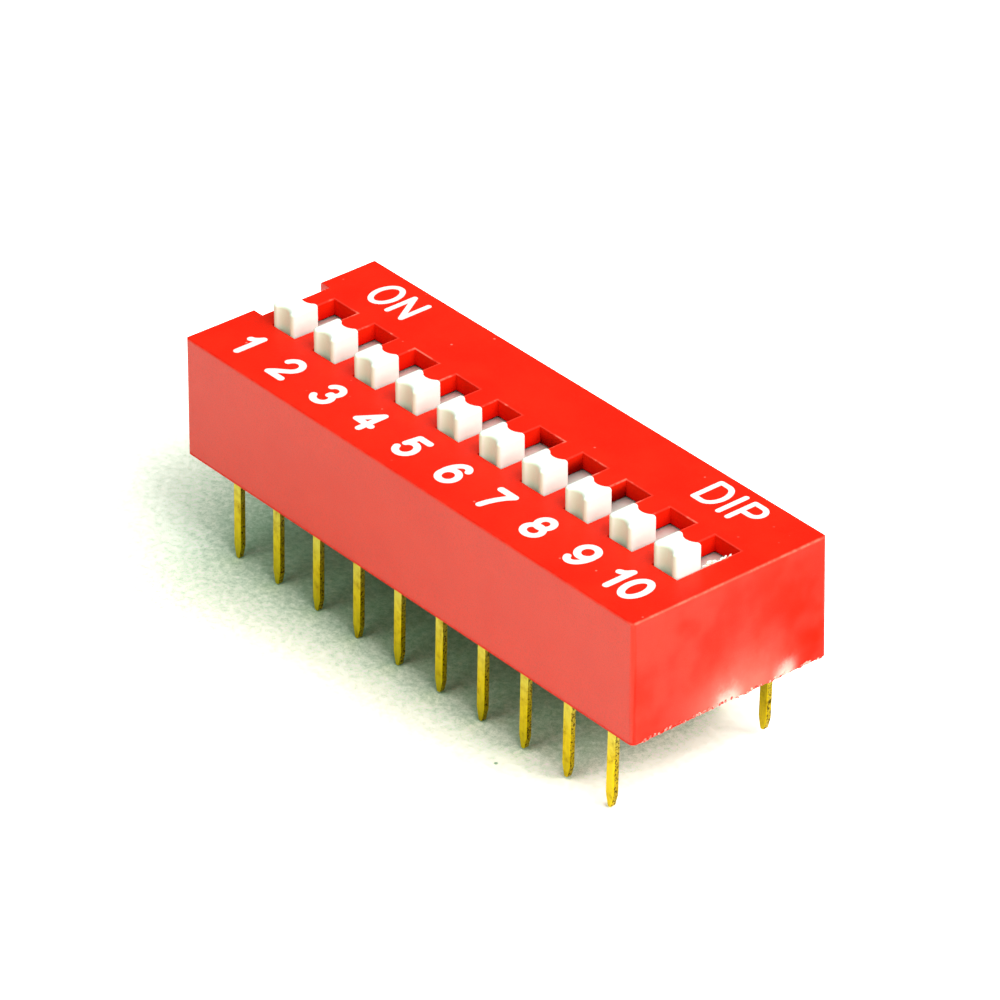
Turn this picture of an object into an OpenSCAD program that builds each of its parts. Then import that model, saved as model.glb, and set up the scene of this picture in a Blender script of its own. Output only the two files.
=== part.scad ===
// Ten-position slide switch in a dual in-line package.
// Millimetres, +Z up, origin midway between the two lead rows at the height of the lead tips.
// X runs from position 1 to position 10, Y from the OFF side to the ON side.

/* [Grid] */
// Distance from one position to the next
pitch = 2.54; // [2.5:0.01:2.6]
// Distance between the two rows of leads
row_spacing = 7.62; // [7.5:0.02:7.8]

/* [Cover] */
// Distance from the middle of an end position to the end of the cover
end_margin = 2.07; // [1.95:0.01:2.5]
// Height of the cover from its seating rim to its top face
cover_height = 5.3; // [5.1:0.1:6.2]
// Thickness of the top plate that the slots go through
top_thickness = 0.7; // [0.55:0.05:0.8]
// Thickness of the side walls beside the slider channels
side_wall = 0.8; // [0.65:0.05:0.85]
// Thickness of the skirt that surrounds the base
skirt_wall = 0.5; // [0.4:0.05:0.6]
// Thickness of the ribs between neighbouring channels
rib_thickness = 0.5; // [0.4:0.05:0.6]
// Draft of the moulded outer walls in degrees
draft_angle = 0.6; // [0:0.1:1]
// Rounding of the top edges
edge_radius = 0.12; // [0.05:0.01:0.2]
// Rounding of the upright corners at the rim
corner_radius = 0.4; // [0.2:0.05:0.6]
// Width of each slot along the row
slot_width = 1.32; // [1.2:0.02:1.4]
// Length of each slot in the direction of travel
slot_length = 3.14; // [3:0.02:3.3]
// Width of the notch that marks the position 1 end
end_notch_width = 3.4; // [3:0.1:4]
// Length of the notch inwards from the end of the cover
end_notch_length = 0.47; // [0.3:0.01:0.7]
// Depth of the notch below the top face
end_notch_depth = 0.5; // [0.3:0.05:0.7]

/* [Base] */
// Thickness of the base from its underside to its deck
base_thickness = 1.75; // [1.6:0.05:2]
// Set-back of the base's underside above the seating rim
base_setback = 0.2; // [0.1:0.05:0.4]
// Resin on each side of a lead, between it and the skirt or the base
lead_cover = 0.315; // [0.25:0.005:0.4]
// Depth of the sealing resin
seal_depth = 0.4; // [0.2:0.05:0.5]

/* [Sliders] */
// Depth of the actuator post in the direction of travel
post_depth = 1.3; // [1.2:0.05:1.5]
// Height of the actuator post above the cover
post_height = 1.0; // [0.6:0.05:1.4]
// Depth of the finger flutes in the front and back of the post
flute_depth = 0.2; // [0.12:0.01:0.24]
// Rounding of the post's corners and upper edges
post_radius = 0.16; // [0.1:0.01:0.18]
// Thickness of the flange that closes the slot from inside
flange_thickness = 0.55; // [0.4:0.05:0.7]
// Lap of the flange beyond the slot's end at full travel
flange_lap = 0.3; // [0.15:0.05:0.4]
// Width of the carrier below the flange
carrier_width = 1.6; // [1.5:0.05:1.7]
// Thickness of the carrier's walls around the contact pocket
carrier_wall = 0.24; // [0.2:0.02:0.27]
// Height of the carrier's underside above the deck
deck_gap = 0.3; // [0.2:0.05:0.4]

/* [Leads] */
// Length of the leads below the seating rim
lead_length = 4.4; // [3:0.1:5]
// Width of the leads
lead_width = 0.45; // [0.4:0.01:0.55]
// Thickness of the strip that the terminals are stamped from
strip_thickness = 0.25; // [0.2:0.01:0.3]
// Length of the taper towards the tip
tip_taper = 0.6; // [0.3:0.05:1]
// Width across the rounded tip
tip_width = 0.22; // [0.16:0.02:0.3]
// Width of the terminal inside the base
pad_width = 1.2; // [1.1:0.05:1.4]
// Inside radius of the bend from the upright leg to the pad
bend_radius = 0.15; // [0.1:0.01:0.25]
// Reach of the front pads beyond the wiper's inner stop
pad_reach = 0.3; // [0.2:0.05:0.4]
// Bare deck between the parked wiper and the rear pad
open_gap = 0.35; // [0.25:0.05:0.45]

/* [Moving contacts] */
// Thickness of the spring strip
spring_thickness = 0.1; // [0.08:0.01:0.12]
// Width of the spring strip
spring_width = 1.0; // [0.9:0.05:1.05]
// Half of the flat middle of the spring
spring_flat = 0.4; // [0.35:0.05:0.5]
// Slope of the spring arms in degrees
arm_slope = 55; // [52:1:58]
// Radius of the wipers and of the upper bends, at mid-thickness
wiper_radius = 0.25; // [0.2:0.01:0.28]
// Length of the turned-up ends of the arms
toe_length = 0.2; // [0.1:0.05:0.3]
// Width of the slit that splits each arm into two fingers
finger_slit = 0.2; // [0.15:0.01:0.25]
// Side of the square peg that locates the spring
peg_side = 0.4; // [0.3:0.02:0.44]

/* [Fits] */
// Running clearance of the sliders at their sides and in the slots
slide_clearance = 0.04; // [0.03:0.01:0.06]
// Clearance under the top plate, which the spring closes when a slider is at rest
ceiling_clearance = 0.06; // [0.05:0.01:0.1]
// Height of the detent ribs under the top plate
detent_height = 0.05; // [0.02:0.01:0.05]
// Depth of the notches in the flange that the ribs drop into at each end of travel
notch_depth = 0.08; // [0.05:0.01:0.12]
// Clearance between the base and the skirt
base_clearance = 0.03; // [0.01:0.01:0.05]
// Clearance between the wipers and the deck
wiper_clearance = 0.02; // [0.01:0.01:0.04]
// Clearance around the peg in the spring
peg_clearance = 0.02; // [0.01:0.01:0.04]
// Free space around the spring in its pocket
spring_room = 0.1; // [0.05:0.01:0.12]

/* [Hidden] */

positions = 10;
bend_steps = 3;     // straight facets in a bend of the hidden strips
round_facets = 48;  // facets of a whole circle in a quick view
cut = 1;            // how far a cutting shape runs past the face it opens

// Plan sizes
cover_length = (positions - 1) * pitch + 2 * end_margin;
seal_width = strip_thickness + 2 * lead_cover;
cover_width = row_spacing - strip_thickness + 2 * (seal_width - lead_cover + skirt_wall);
channel_width = pitch - rib_thickness;
channel_length = cover_width - 2 * side_wall;

// Heights
rim_z = lead_length;
top_z = rim_z + cover_height;
ceiling_z = top_z - top_thickness;
underside_z = rim_z + base_setback;
deck_z = underside_z + base_thickness;
seal_top_z = underside_z + seal_depth;
flange_top_z = ceiling_z - ceiling_clearance;
flange_bottom_z = flange_top_z - flange_thickness;
carrier_bottom_z = deck_z + deck_gap;
pocket_top_z = flange_bottom_z - carrier_wall;

// Slider
travel = slot_length - post_depth - 2 * slide_clearance;
rest_y = -travel / 2;
post_width = slot_width - 2 * slide_clearance;
flange_width = channel_width - 2 * slide_clearance;
flange_length = slot_length + travel + 2 * flange_lap;

// Detent
detent_width = 4 * detent_height;
notch_width = detent_width + 2 * slide_clearance;

// Spring
spring_z = pocket_top_z - spring_thickness / 2;
wiper_z = deck_z + wiper_clearance + spring_thickness / 2;
bend_drop = 2 * wiper_radius * (1 - cos(arm_slope));
arm_length = (spring_z - wiper_z - bend_drop) / sin(arm_slope);
wiper_reach = spring_flat + 2 * wiper_radius * sin(arm_slope) + arm_length * cos(arm_slope);
toe_reach = wiper_reach + wiper_radius * sin(arm_slope) + toe_length * cos(arm_slope);
pocket_length = 2 * (toe_reach + spring_room);
pocket_width = spring_width + spring_room;
carrier_length = pocket_length + 2 * carrier_wall;

// Terminals
leg_y = row_spacing / 2;
pad_z = deck_z - strip_thickness / 2;
leg_bend = bend_radius + strip_thickness / 2;
bend_axis_y = leg_bend - leg_y;
front_pad_end = -wiper_reach - rest_y + pad_reach;
rear_pad_end = wiper_reach + rest_y + open_gap;
shoulder_z = (seal_top_z + deck_z - strip_thickness - bend_radius) / 2;

// Position of a channel's middle along the row
function station(k) = (k - (positions + 1) / 2) * pitch;

// Point at a distance r from c in the direction of an angle
function around(c, r, angle) = c + r * [cos(angle), sin(angle)];

// Points along an arc about c
function arc(c, r, from, to, steps) =
    [for (i = [0 : steps]) around(c, r, from + (to - from) * i / steps)];

// The same points seen from the other side of the middle, in reverse order
function mirrored(points) =
    [for (i = [len(points) - 1 : -1 : 0]) [-points[i][0], points[i][1]]];

// Direction in which a path leaves its point i
function heading(path, i) = let (way = path[i + 1] - path[i]) atan2(way[1], way[0]);

// A path moved sideways by d, mitred at its corners
function beside(path, d) = [for (i = [0 : len(path) - 1]) let (
    before = heading(path, max(i - 1, 0)),
    after = heading(path, min(i, len(path) - 2)))
    around(path[i], d / cos((after - before) / 2), (before + after) / 2 + 90)];

// Side view of a strip of one thickness bent along a path
module bent_strip(path, thickness) {
    left = beside(path, thickness / 2);
    right = beside(path, -thickness / 2);
    polygon(concat(left, [for (i = [len(right) - 1 : -1 : 0]) right[i]]));
}

// A round outline about c
module disc(c, r) {
    translate(c) circle(r, $fn = round_facets);
}

// A flat outline with rounded corners
module rounded_rectangle(length, width, r) {
    square([length - 2 * r, width], center = true);
    square([length, width - 2 * r], center = true);
    for (x = [-1, 1], y = [-1, 1]) disc([x * (length / 2 - r), y * (width / 2 - r)], r);
}

// A wall outline that leans inwards by the draft and rounds over at its top edges
module drafted_outline(width, height, slope, r) {
    centre = [width / 2 - r * (1 - sin(slope)) / cos(slope), height - r];
    side = [[width / 2 + height * tan(slope), 0], around(centre, r, slope), around(centre, r, 90)];
    polygon(concat(side, mirrored(side)));
    for (x = [-1, 1]) disc([x * centre[0], centre[1]], r);
}

// A solid whose end view along X is the outline, centred on the origin
module along_x(length) {
    rotate([90, 0, 90]) translate([0, 0, -length / 2]) linear_extrude(length) children();
}

// A solid whose front view is the outline, centred on the origin
module along_y(length) {
    rotate([90, 0, 0]) translate([0, 0, -length / 2]) linear_extrude(length) children();
}

// A block centred in X and Y between two heights
module block(length, width, low, high) {
    translate([-length / 2, -width / 2, low]) cube([length, width, high - low]);
}

// ---- Cover ----

// The moulded outer form: drafted walls, rounded corners and rounded top edges
module cover_form() {
    lean = 2 * cover_height * tan(draft_angle);
    rim_length = cover_length + lean;
    rim_width = cover_width + lean;
    translate([0, 0, rim_z]) intersection() {
        along_x(2 * rim_length)
            drafted_outline(cover_width, cover_height, draft_angle, edge_radius);
        along_y(2 * rim_width)
            drafted_outline(cover_length, cover_height, draft_angle, edge_radius);
        translate([0, 0, -cut]) linear_extrude(cover_height + 2 * cut)
            rounded_rectangle(rim_length, rim_width, corner_radius);
    }
}

// Two short ribs under the top plate, one on each side of the slot
module detent_ribs() {
    rib_start = slot_width / 2 + slide_clearance;
    rib_length = channel_width / 2 - rib_start;
    for (side = [-1, 1])
        translate([side * (rib_start + rib_length / 2), 0, ceiling_z])
            along_x(rib_length) polygon([[0, -detent_height], [detent_width / 2, 0],
                [detent_width / 2, detent_height], [-detent_width / 2, detent_height],
                [-detent_width / 2, 0]]);
}

// The notch in the top edge of the position 1 end
module end_notch() {
    translate([end_notch_length - 1.5 * cover_length, 0, 0])
        block(2 * cover_length, end_notch_width, top_z - end_notch_depth, top_z + cut);
}

module cover() {
    color("red") union() {
        difference() {
            cover_form();
            block(cover_length - 2 * skirt_wall, cover_width - 2 * skirt_wall, rim_z - cut, deck_z);
            for (k = [1 : positions]) translate([station(k), 0, 0]) {
                block(channel_width, channel_length, deck_z - cut, ceiling_z);
                block(slot_width, slot_length, ceiling_z - cut, top_z + cut);
            }
            end_notch();
        }
        for (k = [1 : positions]) translate([station(k), 0, 0]) detent_ribs();
    }
}

// ---- Base ----

module base() {
    gap = skirt_wall + base_clearance;
    foot = skirt_wall + seal_width;
    color("firebrick") difference() {
        union() {
            block(cover_length - 2 * gap, cover_width - 2 * gap, seal_top_z, deck_z);
            block(cover_length - 2 * foot, cover_width - 2 * foot, underside_z, shoulder_z);
        }
        for (k = [1 : positions]) {
            front_terminal(k);
            rear_terminal(k);
            translate([station(k), 0, 0]) pad_relief(front_pad_end);
            translate([station(k), 0, 0]) mirror([0, 1, 0]) pad_relief(-rear_pad_end);
        }
    }
}

// The ring of resin that closes the joint between skirt and base and seals the leads
module base_seal() {
    foot = skirt_wall + seal_width;
    color("sienna") difference() {
        block(cover_length - 2 * skirt_wall, cover_width - 2 * skirt_wall, underside_z, seal_top_z);
        block(cover_length - 2 * foot, cover_width - 2 * foot, underside_z - cut, seal_top_z + cut);
        for (k = [1 : positions]) {
            front_terminal(k);
            rear_terminal(k);
        }
    }
}

// ---- Sliders ----

// Plan outline of a post: a round lobe at each corner, blended into a hollow flute front and back
module post_outline() {
    lobe = [post_width / 2, post_depth / 2] - post_radius * [1, 1];
    flute_radius = (lobe[0] * lobe[0] + flute_depth * flute_depth) / (2 * flute_depth) - post_radius;
    flute_y = post_depth / 2 - flute_depth + flute_radius;
    blend_y = lobe[1] + (flute_y - lobe[1]) * post_radius / (post_radius + flute_radius);
    square([post_width, 2 * lobe[1]], center = true);
    difference() {
        square([2 * lobe[0], 2 * blend_y], center = true);
        for (side = [-1, 1]) disc([0, side * flute_y], flute_radius);
    }
    for (x = [-1, 1], y = [-1, 1]) disc([x * lobe[0], y * lobe[1]], post_radius);
}

// The fluted post with its top edges rounded
module post() {
    foot_z = flange_top_z - flange_thickness / 2;
    height = top_z + post_height - foot_z;
    translate([0, 0, foot_z]) intersection() {
        linear_extrude(height + cut) post_outline();
        along_x(2 * post_width) drafted_outline(post_depth, height, 0, post_radius);
        along_y(2 * post_depth) drafted_outline(post_width, height, 0, post_radius);
    }
}

module actuator(k) {
    notch_inset = (flange_width - slot_width) / 2;
    color("ivory") translate([station(k), rest_y, 0]) {
        difference() {
            union() {
                post();
                block(flange_width, flange_length, flange_bottom_z, flange_top_z);
                block(carrier_width, carrier_length, carrier_bottom_z, flange_top_z - flange_thickness / 2);
            }
            block(pocket_width, pocket_length, carrier_bottom_z - cut, pocket_top_z);
            for (end = [-1, 1], side = [-1, 1])
                translate([side * flange_width / 2, end * rest_y, flange_top_z - notch_depth])
                    block(2 * notch_inset, notch_width, 0, notch_depth + cut);
        }
        block(peg_side, peg_side, spring_z - deck_gap, flange_bottom_z);
    }
}

// Path of one spring arm, from the flat middle to the turned-up toe
function arm_path() = let (
    crown = arc([spring_flat, spring_z - wiper_radius], wiper_radius, 90, 90 - arm_slope, bend_steps),
    wiper = arc([wiper_reach, wiper_z + wiper_radius], wiper_radius,
        270 - arm_slope, 270 + arm_slope, bend_steps + 1),
    toe = around(wiper[len(wiper) - 1], toe_length, arm_slope))
    concat(crown, wiper, [toe]);

// The spring contact that bridges the two terminals of a position
module moving_contact(k) {
    peg_hole = peg_side + 2 * peg_clearance;
    slit_start = spring_flat + wiper_radius;
    slit_end = toe_reach + spring_thickness;
    color("gold") translate([station(k), rest_y, 0]) difference() {
        along_x(spring_width)
            bent_strip(concat(mirrored(arm_path()), arm_path()), spring_thickness);
        for (side = [-1, 1]) translate([0, side * (slit_start + slit_end) / 2, 0])
            block(finger_slit, slit_end - slit_start, wiper_z - cut, spring_z + cut);
        block(peg_hole, peg_hole, spring_z - cut, spring_z + cut);
    }
}

// ---- Terminals ----

// Path of the strip: an upright leg bent over into a pad that lies flush in the deck
function terminal_path(pad_end) = concat([[-leg_y, shoulder_z]],
    arc([bend_axis_y, pad_z - leg_bend], leg_bend, 180, 90, bend_steps), [[pad_end, pad_z]]);

// One side of the lead seen from the front, from its rounded tip to the shoulder
function lead_side() = concat(
    arc([0, tip_width / 2], tip_width / 2, -60, 0, bend_steps - 1),
    [[lead_width / 2, tip_taper], [lead_width / 2, shoulder_z + strip_thickness]]);

// The space above a pad, which keeps it bare in the deck
module pad_relief(pad_end) {
    translate([-pad_width / 2, bend_axis_y, pad_z])
        cube([pad_width, pad_end - bend_axis_y, strip_thickness + cut]);
}

module terminal(pad_end) {
    color("goldenrod") union() {
        along_x(pad_width) bent_strip(terminal_path(pad_end), strip_thickness);
        translate([0, -leg_y, 0]) along_y(strip_thickness)
            polygon(concat(lead_side(), mirrored(lead_side())));
    }
}

module front_terminal(k) {
    translate([station(k), 0, 0]) terminal(front_pad_end);
}

module rear_terminal(k) {
    translate([station(k), 0, 0]) mirror([0, 1, 0]) terminal(-rear_pad_end);
}

cover();
base();
base_seal();
for (k = [1 : positions]) {
    actuator(k);
    moving_contact(k);
    front_terminal(k);
    rear_terminal(k);
}
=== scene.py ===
"""Looks of a ten-position slide switch: red cover, ivory sliders, gold leads, white print."""

import math

import bmesh
import bpy
from mathutils import Matrix, Vector
from mathutils.geometry import delaunay_2d_cdt


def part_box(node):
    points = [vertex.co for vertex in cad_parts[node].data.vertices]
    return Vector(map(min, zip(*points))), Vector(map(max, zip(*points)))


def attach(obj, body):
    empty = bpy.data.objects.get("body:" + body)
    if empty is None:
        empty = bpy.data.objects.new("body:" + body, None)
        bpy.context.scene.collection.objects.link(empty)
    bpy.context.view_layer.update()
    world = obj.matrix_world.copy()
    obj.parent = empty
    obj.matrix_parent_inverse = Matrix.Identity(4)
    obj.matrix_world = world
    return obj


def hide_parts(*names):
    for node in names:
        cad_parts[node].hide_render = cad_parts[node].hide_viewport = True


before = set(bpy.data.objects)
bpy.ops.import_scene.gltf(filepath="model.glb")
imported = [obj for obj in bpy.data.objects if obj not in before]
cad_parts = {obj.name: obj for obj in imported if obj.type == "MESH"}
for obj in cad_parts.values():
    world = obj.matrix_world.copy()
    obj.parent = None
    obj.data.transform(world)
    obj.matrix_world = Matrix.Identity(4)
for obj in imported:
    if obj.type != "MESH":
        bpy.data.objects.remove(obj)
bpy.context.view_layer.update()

# ---------------------------------------------------------------- sizes, in millimetres

MM = 0.001
WELD = 1e-7                    # metres within which a CAD mesh's loose corners are one corner
TOUCH = 0.01                   # millimetres within which a corner lies on a plane
FLAT_TURN = 0.4                # degrees below which neighbouring faces are one flat face
SHARP_TURN = 30                # degrees above which an edge is rounded
SMOOTH_TURN = 50               # degrees above which shading breaks
BEVEL_SEGMENTS = 2

POSITIONS = 10
PITCH = 2.54

low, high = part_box("cover")
RIM_Z = low.z / MM
TOP_Z = high.z / MM
HALF_LENGTH = 13.5             # at the top face, inside the draft
HALF_WIDTH = 4.75
RIM_HALF_LENGTH = high.x / MM
RIM_HALF_WIDTH = high.y / MM
CEILING_Z = TOP_Z - 0.7        # underside of the top plate
FLANGE_Z = CEILING_Z - 0.06    # top of the slider's flange, seen in the slots
POST_Z = TOP_Z + 1.0           # top of the posts

CAD_CORNER = 0.4               # radius of the cover's uprights in the CAD
CORNER = 0.22                  # and as they are seen
SLOT_EDGE = 0.035              # rounding of the slots' upper edges
NOTCH_EDGE = 0.05              # rounding of the end notch
NOTCH_X = -13.03               # inner end of the notch in the position 1 end
NOTCH_SHIFT = 0.3              # how far it sits towards the ON side
NOTCH_REACH = 0.15             # and how much longer it is seen
NOTCH_DEPTH_ZONE = 0.6         # the notch's corners are higher than this below the top face
NOTCH_SIDE_ZONE = 1.8          # and nearer to the middle than this
RIM_EDGE = 0.09                # rounding of the cover's lower rim
SLOT_HALF_WIDTH = 0.66
SLOT_HALF_LENGTH = 1.57
SLOT_PLAY = 0.17               # extra opening of each slot on its position 10 side
SLOT_SNUG = 0.025              # and how much the other side closes up to the post
RIB_START = 0.7                # inner end of the detent ribs, beside the slot
RIB_DROP = 0.06                # just more than the ribs' height
POST_LEFT, POST_RIGHT = -0.62, 0.72    # sides of a post, about its station
POST_FRONT, POST_BACK = -1.53, -0.23   # its front and back at rest
POST_ROOT = 0.1                # how deep the post is set into its flange
POST_LOBE = 0.16               # radius of the post's four upright corners
POST_FLUTE = 0.2               # depth of the hollow in the front and back of a post
POST_CROWN = 0.13              # rounding of the post's top
LOBE_STEPS, FLUTE_STEPS, CROWN_STEPS = 10, 10, 5
LEAD_EDGE = 0.04
LEAD_VISIBLE = 1.3             # the leads' edges are rounded up to this far above the rim
LEAD_LEAN = 0.2                # how far the lead tips stand towards position 1
TIP_TRIM = 0.12                # most that a lead's tip falls short of its neighbours
LEAD_SEED = 11
REAR_TRIM = 0.2                # how much the rear leads are shorter

# Torn crumbs of plastic: name, slot, start, end, spread, size, count and seed
RIM_FLASH = ("end_flash", "cover_plastic",
             (RIM_HALF_LENGTH - 0.03, -4.4, RIM_Z + 0.03),
             (RIM_HALF_LENGTH - 0.03, 4.5, RIM_Z + 0.03), (0.02, 0.12, 0.05), 0.085, 90, 4)
SHAVING_X = (POSITIONS - 1) / 2 * PITCH + POST_RIGHT + 0.065
SLOT_SHAVING = ("slot_shaving", "actuator_plastic",
                (SHAVING_X, -0.2, TOP_Z + 0.08),
                (SHAVING_X, 1.1, TOP_Z - 0.08), (0.0, 0.05, 0.06), 0.075, 26, 7)

INK_DEPTH = 0.006              # how far the print stands proud of the top face
INK_SINK = 0.003               # and how far it reaches into it
PRINT_TURN = 0.25              # degrees by which the print is out of square
DIGIT_STROKE = 0.30
WORD_STROKE = 0.245

RIDER = "housing"              # the body that carries all that does not slide


def station(k):
    """Middle of position k along the row."""
    return (k - (POSITIONS + 1) / 2) * PITCH


# ---------------------------------------------------------------- shader expressions

class Term:
    """A shader socket that ordinary arithmetic can be written with."""

    def __init__(self, finish, socket):
        self.finish = finish
        self.socket = socket

    def _math(self, operation, first, second):
        return self.finish.node("ShaderNodeMath", {"operation": operation}, first, second)

    def __add__(self, other):
        return self._math("ADD", self, other)

    def __radd__(self, other):
        return self._math("ADD", other, self)

    def __sub__(self, other):
        return self._math("SUBTRACT", self, other)

    def __rsub__(self, other):
        return self._math("SUBTRACT", other, self)

    def __mul__(self, other):
        return self._math("MULTIPLY", self, other)

    def __truediv__(self, other):
        return self._math("DIVIDE", self, other)

    def __abs__(self):
        return self._math("ABSOLUTE", self, 0.0)


class Finish:
    """One node tree, built by naming each node once."""

    def __init__(self, tree):
        self.tree = tree
        tree.nodes.clear()

    def node(self, kind, settings=None, *values, out=0, **named):
        """A node with its settings first, then its sockets by order or by name."""
        node = self.tree.nodes.new(kind)
        for key, value in (settings or {}).items():
            if key == "ramp":
                self._set_ramp(node, value)
            else:
                setattr(node, key, value)
        for key, value in list(enumerate(values)) + list(named.items()):
            socket = node.inputs[key if isinstance(key, int) else key.replace("_", " ")]
            if isinstance(value, Term):
                self.tree.links.new(value.socket, socket)
            elif value is not None:
                socket.default_value = value
        return Term(self, node.outputs[out]) if node.outputs else None

    @staticmethod
    def _set_ramp(node, stops):
        ramp = node.color_ramp
        while len(ramp.elements) < len(stops):
            ramp.elements.new(0.5)
        for element, (place, colour) in zip(ramp.elements, stops):
            element.position = place
            element.color = colour

    def place(self):
        """Where the shaded point is on its piece, in millimetres."""
        spot = self.node("ShaderNodeTexCoord", out=3)
        return self.node("ShaderNodeVectorMath", {"operation": "SCALE"}, spot, Scale=1 / MM)

    def along(self, vector, axis):
        return self.node("ShaderNodeSeparateXYZ", None, vector, out="XYZ".index(axis))

    def dot(self, vector, way):
        return self.node("ShaderNodeVectorMath", {"operation": "DOT_PRODUCT"}, vector, way, out=1)

    def stretched(self, vector, scale):
        return self.node("ShaderNodeMapping", None, vector, Scale=scale)

    def noise(self, vector, scale, detail=2.0, roughness=0.5):
        return self.node("ShaderNodeTexNoise", None, Vector=vector, Scale=scale, Detail=detail,
                         Roughness=roughness)

    def cells(self, vector, scale):
        """Distance to the nearest of many scattered points."""
        return self.node("ShaderNodeTexVoronoi", None, Vector=vector, Scale=scale)

    def between(self, value, low, high):
        """0 below low, 1 above high, smooth in between; low may be the larger."""
        return self.node("ShaderNodeMapRange", {"interpolation_type": "SMOOTHSTEP"}, value,
                         low, high, 0.0, 1.0)

    def most(self, a, b):
        """The larger of two values."""
        return self.node("ShaderNodeMath", {"operation": "MAXIMUM"}, a, b)

    def blend(self, factor, first, second):
        """Colour that goes from first to second with the factor."""
        node = self.tree.nodes.new("ShaderNodeMix")
        node.data_type = "RGBA"
        for index, value in ((0, factor), (6, first), (7, second)):
            if isinstance(value, Term):
                self.tree.links.new(value.socket, node.inputs[index])
            else:
                node.inputs[index].default_value = value
        return Term(self, node.outputs[2])

    def bump(self, height, distance, strength=1.0):
        return self.node("ShaderNodeBump", None, Height=height, Distance=distance * MM,
                         Strength=strength)


def rgb(red, green, blue):
    """A linear colour from its screen values of 0 to 255."""
    def linear(v):
        v /= 255
        return v / 12.92 if v <= 0.04045 else ((v + 0.055) / 1.055) ** 2.4
    return (linear(red), linear(green), linear(blue), 1.0)


def make_material(name, paint, **constants):
    """A Principled material from paint(finish), dull where its Matte is 1."""
    material = bpy.data.materials.new(name)
    material.use_nodes = True
    finish = Finish(material.node_tree)
    varying = paint(finish)
    matte = varying.pop("Matte", None)
    surface = finish.node("ShaderNodeBsdfPrincipled", None, **varying)
    shader = surface.socket.node
    for key, value in constants.items():
        shader.inputs[key.replace("_", " ")].default_value = value
    if matte is not None:
        dull = finish.node("ShaderNodeBsdfDiffuse", None, varying["Base_Color"])
        surface = finish.node("ShaderNodeMixShader", None, matte, surface, dull)
    finish.node("ShaderNodeOutputMaterial", None, surface)
    return material


# ---------------------------------------------------------------- finishes

def edge_band(f, spot, half_length, half_width, width):
    """1 on the cover's outer arrises, 0.8 on its lower rim, fading within the width."""
    x = abs(f.along(spot, "X"))
    y = abs(f.along(spot, "Y"))
    z = f.along(spot, "Z")
    near_end = f.between(x, half_length - width, half_length - width * 0.2)
    near_side = f.between(y, half_width - width, half_width - width * 0.2)
    near_top = f.between(z, TOP_Z - width * 1.3, TOP_Z - width * 0.25)
    near_rim = f.between(z, RIM_Z + width, RIM_Z)
    top_arris = f.most(near_end, near_side) * near_top
    upright = near_end * near_side
    return f.most(f.most(top_arris, upright), near_rim * 0.8)


def slot_place(f, spot):
    """How far outside the nearest slot's outline a point is, in plan; negative inside it."""
    phase = f.node("ShaderNodeMath", {"operation": "FRACT"}, f.along(spot, "X") / PITCH)
    x = (phase - 0.5) * PITCH
    half = SLOT_HALF_WIDTH + SLOT_PLAY / 2
    beside = abs(x - SLOT_PLAY / 2) - half
    beyond = abs(f.along(spot, "Y")) - SLOT_HALF_LENGTH
    past_row = abs(f.along(spot, "X")) - POSITIONS / 2 * PITCH
    return f.most(f.most(beside, beyond), past_row)


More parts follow.
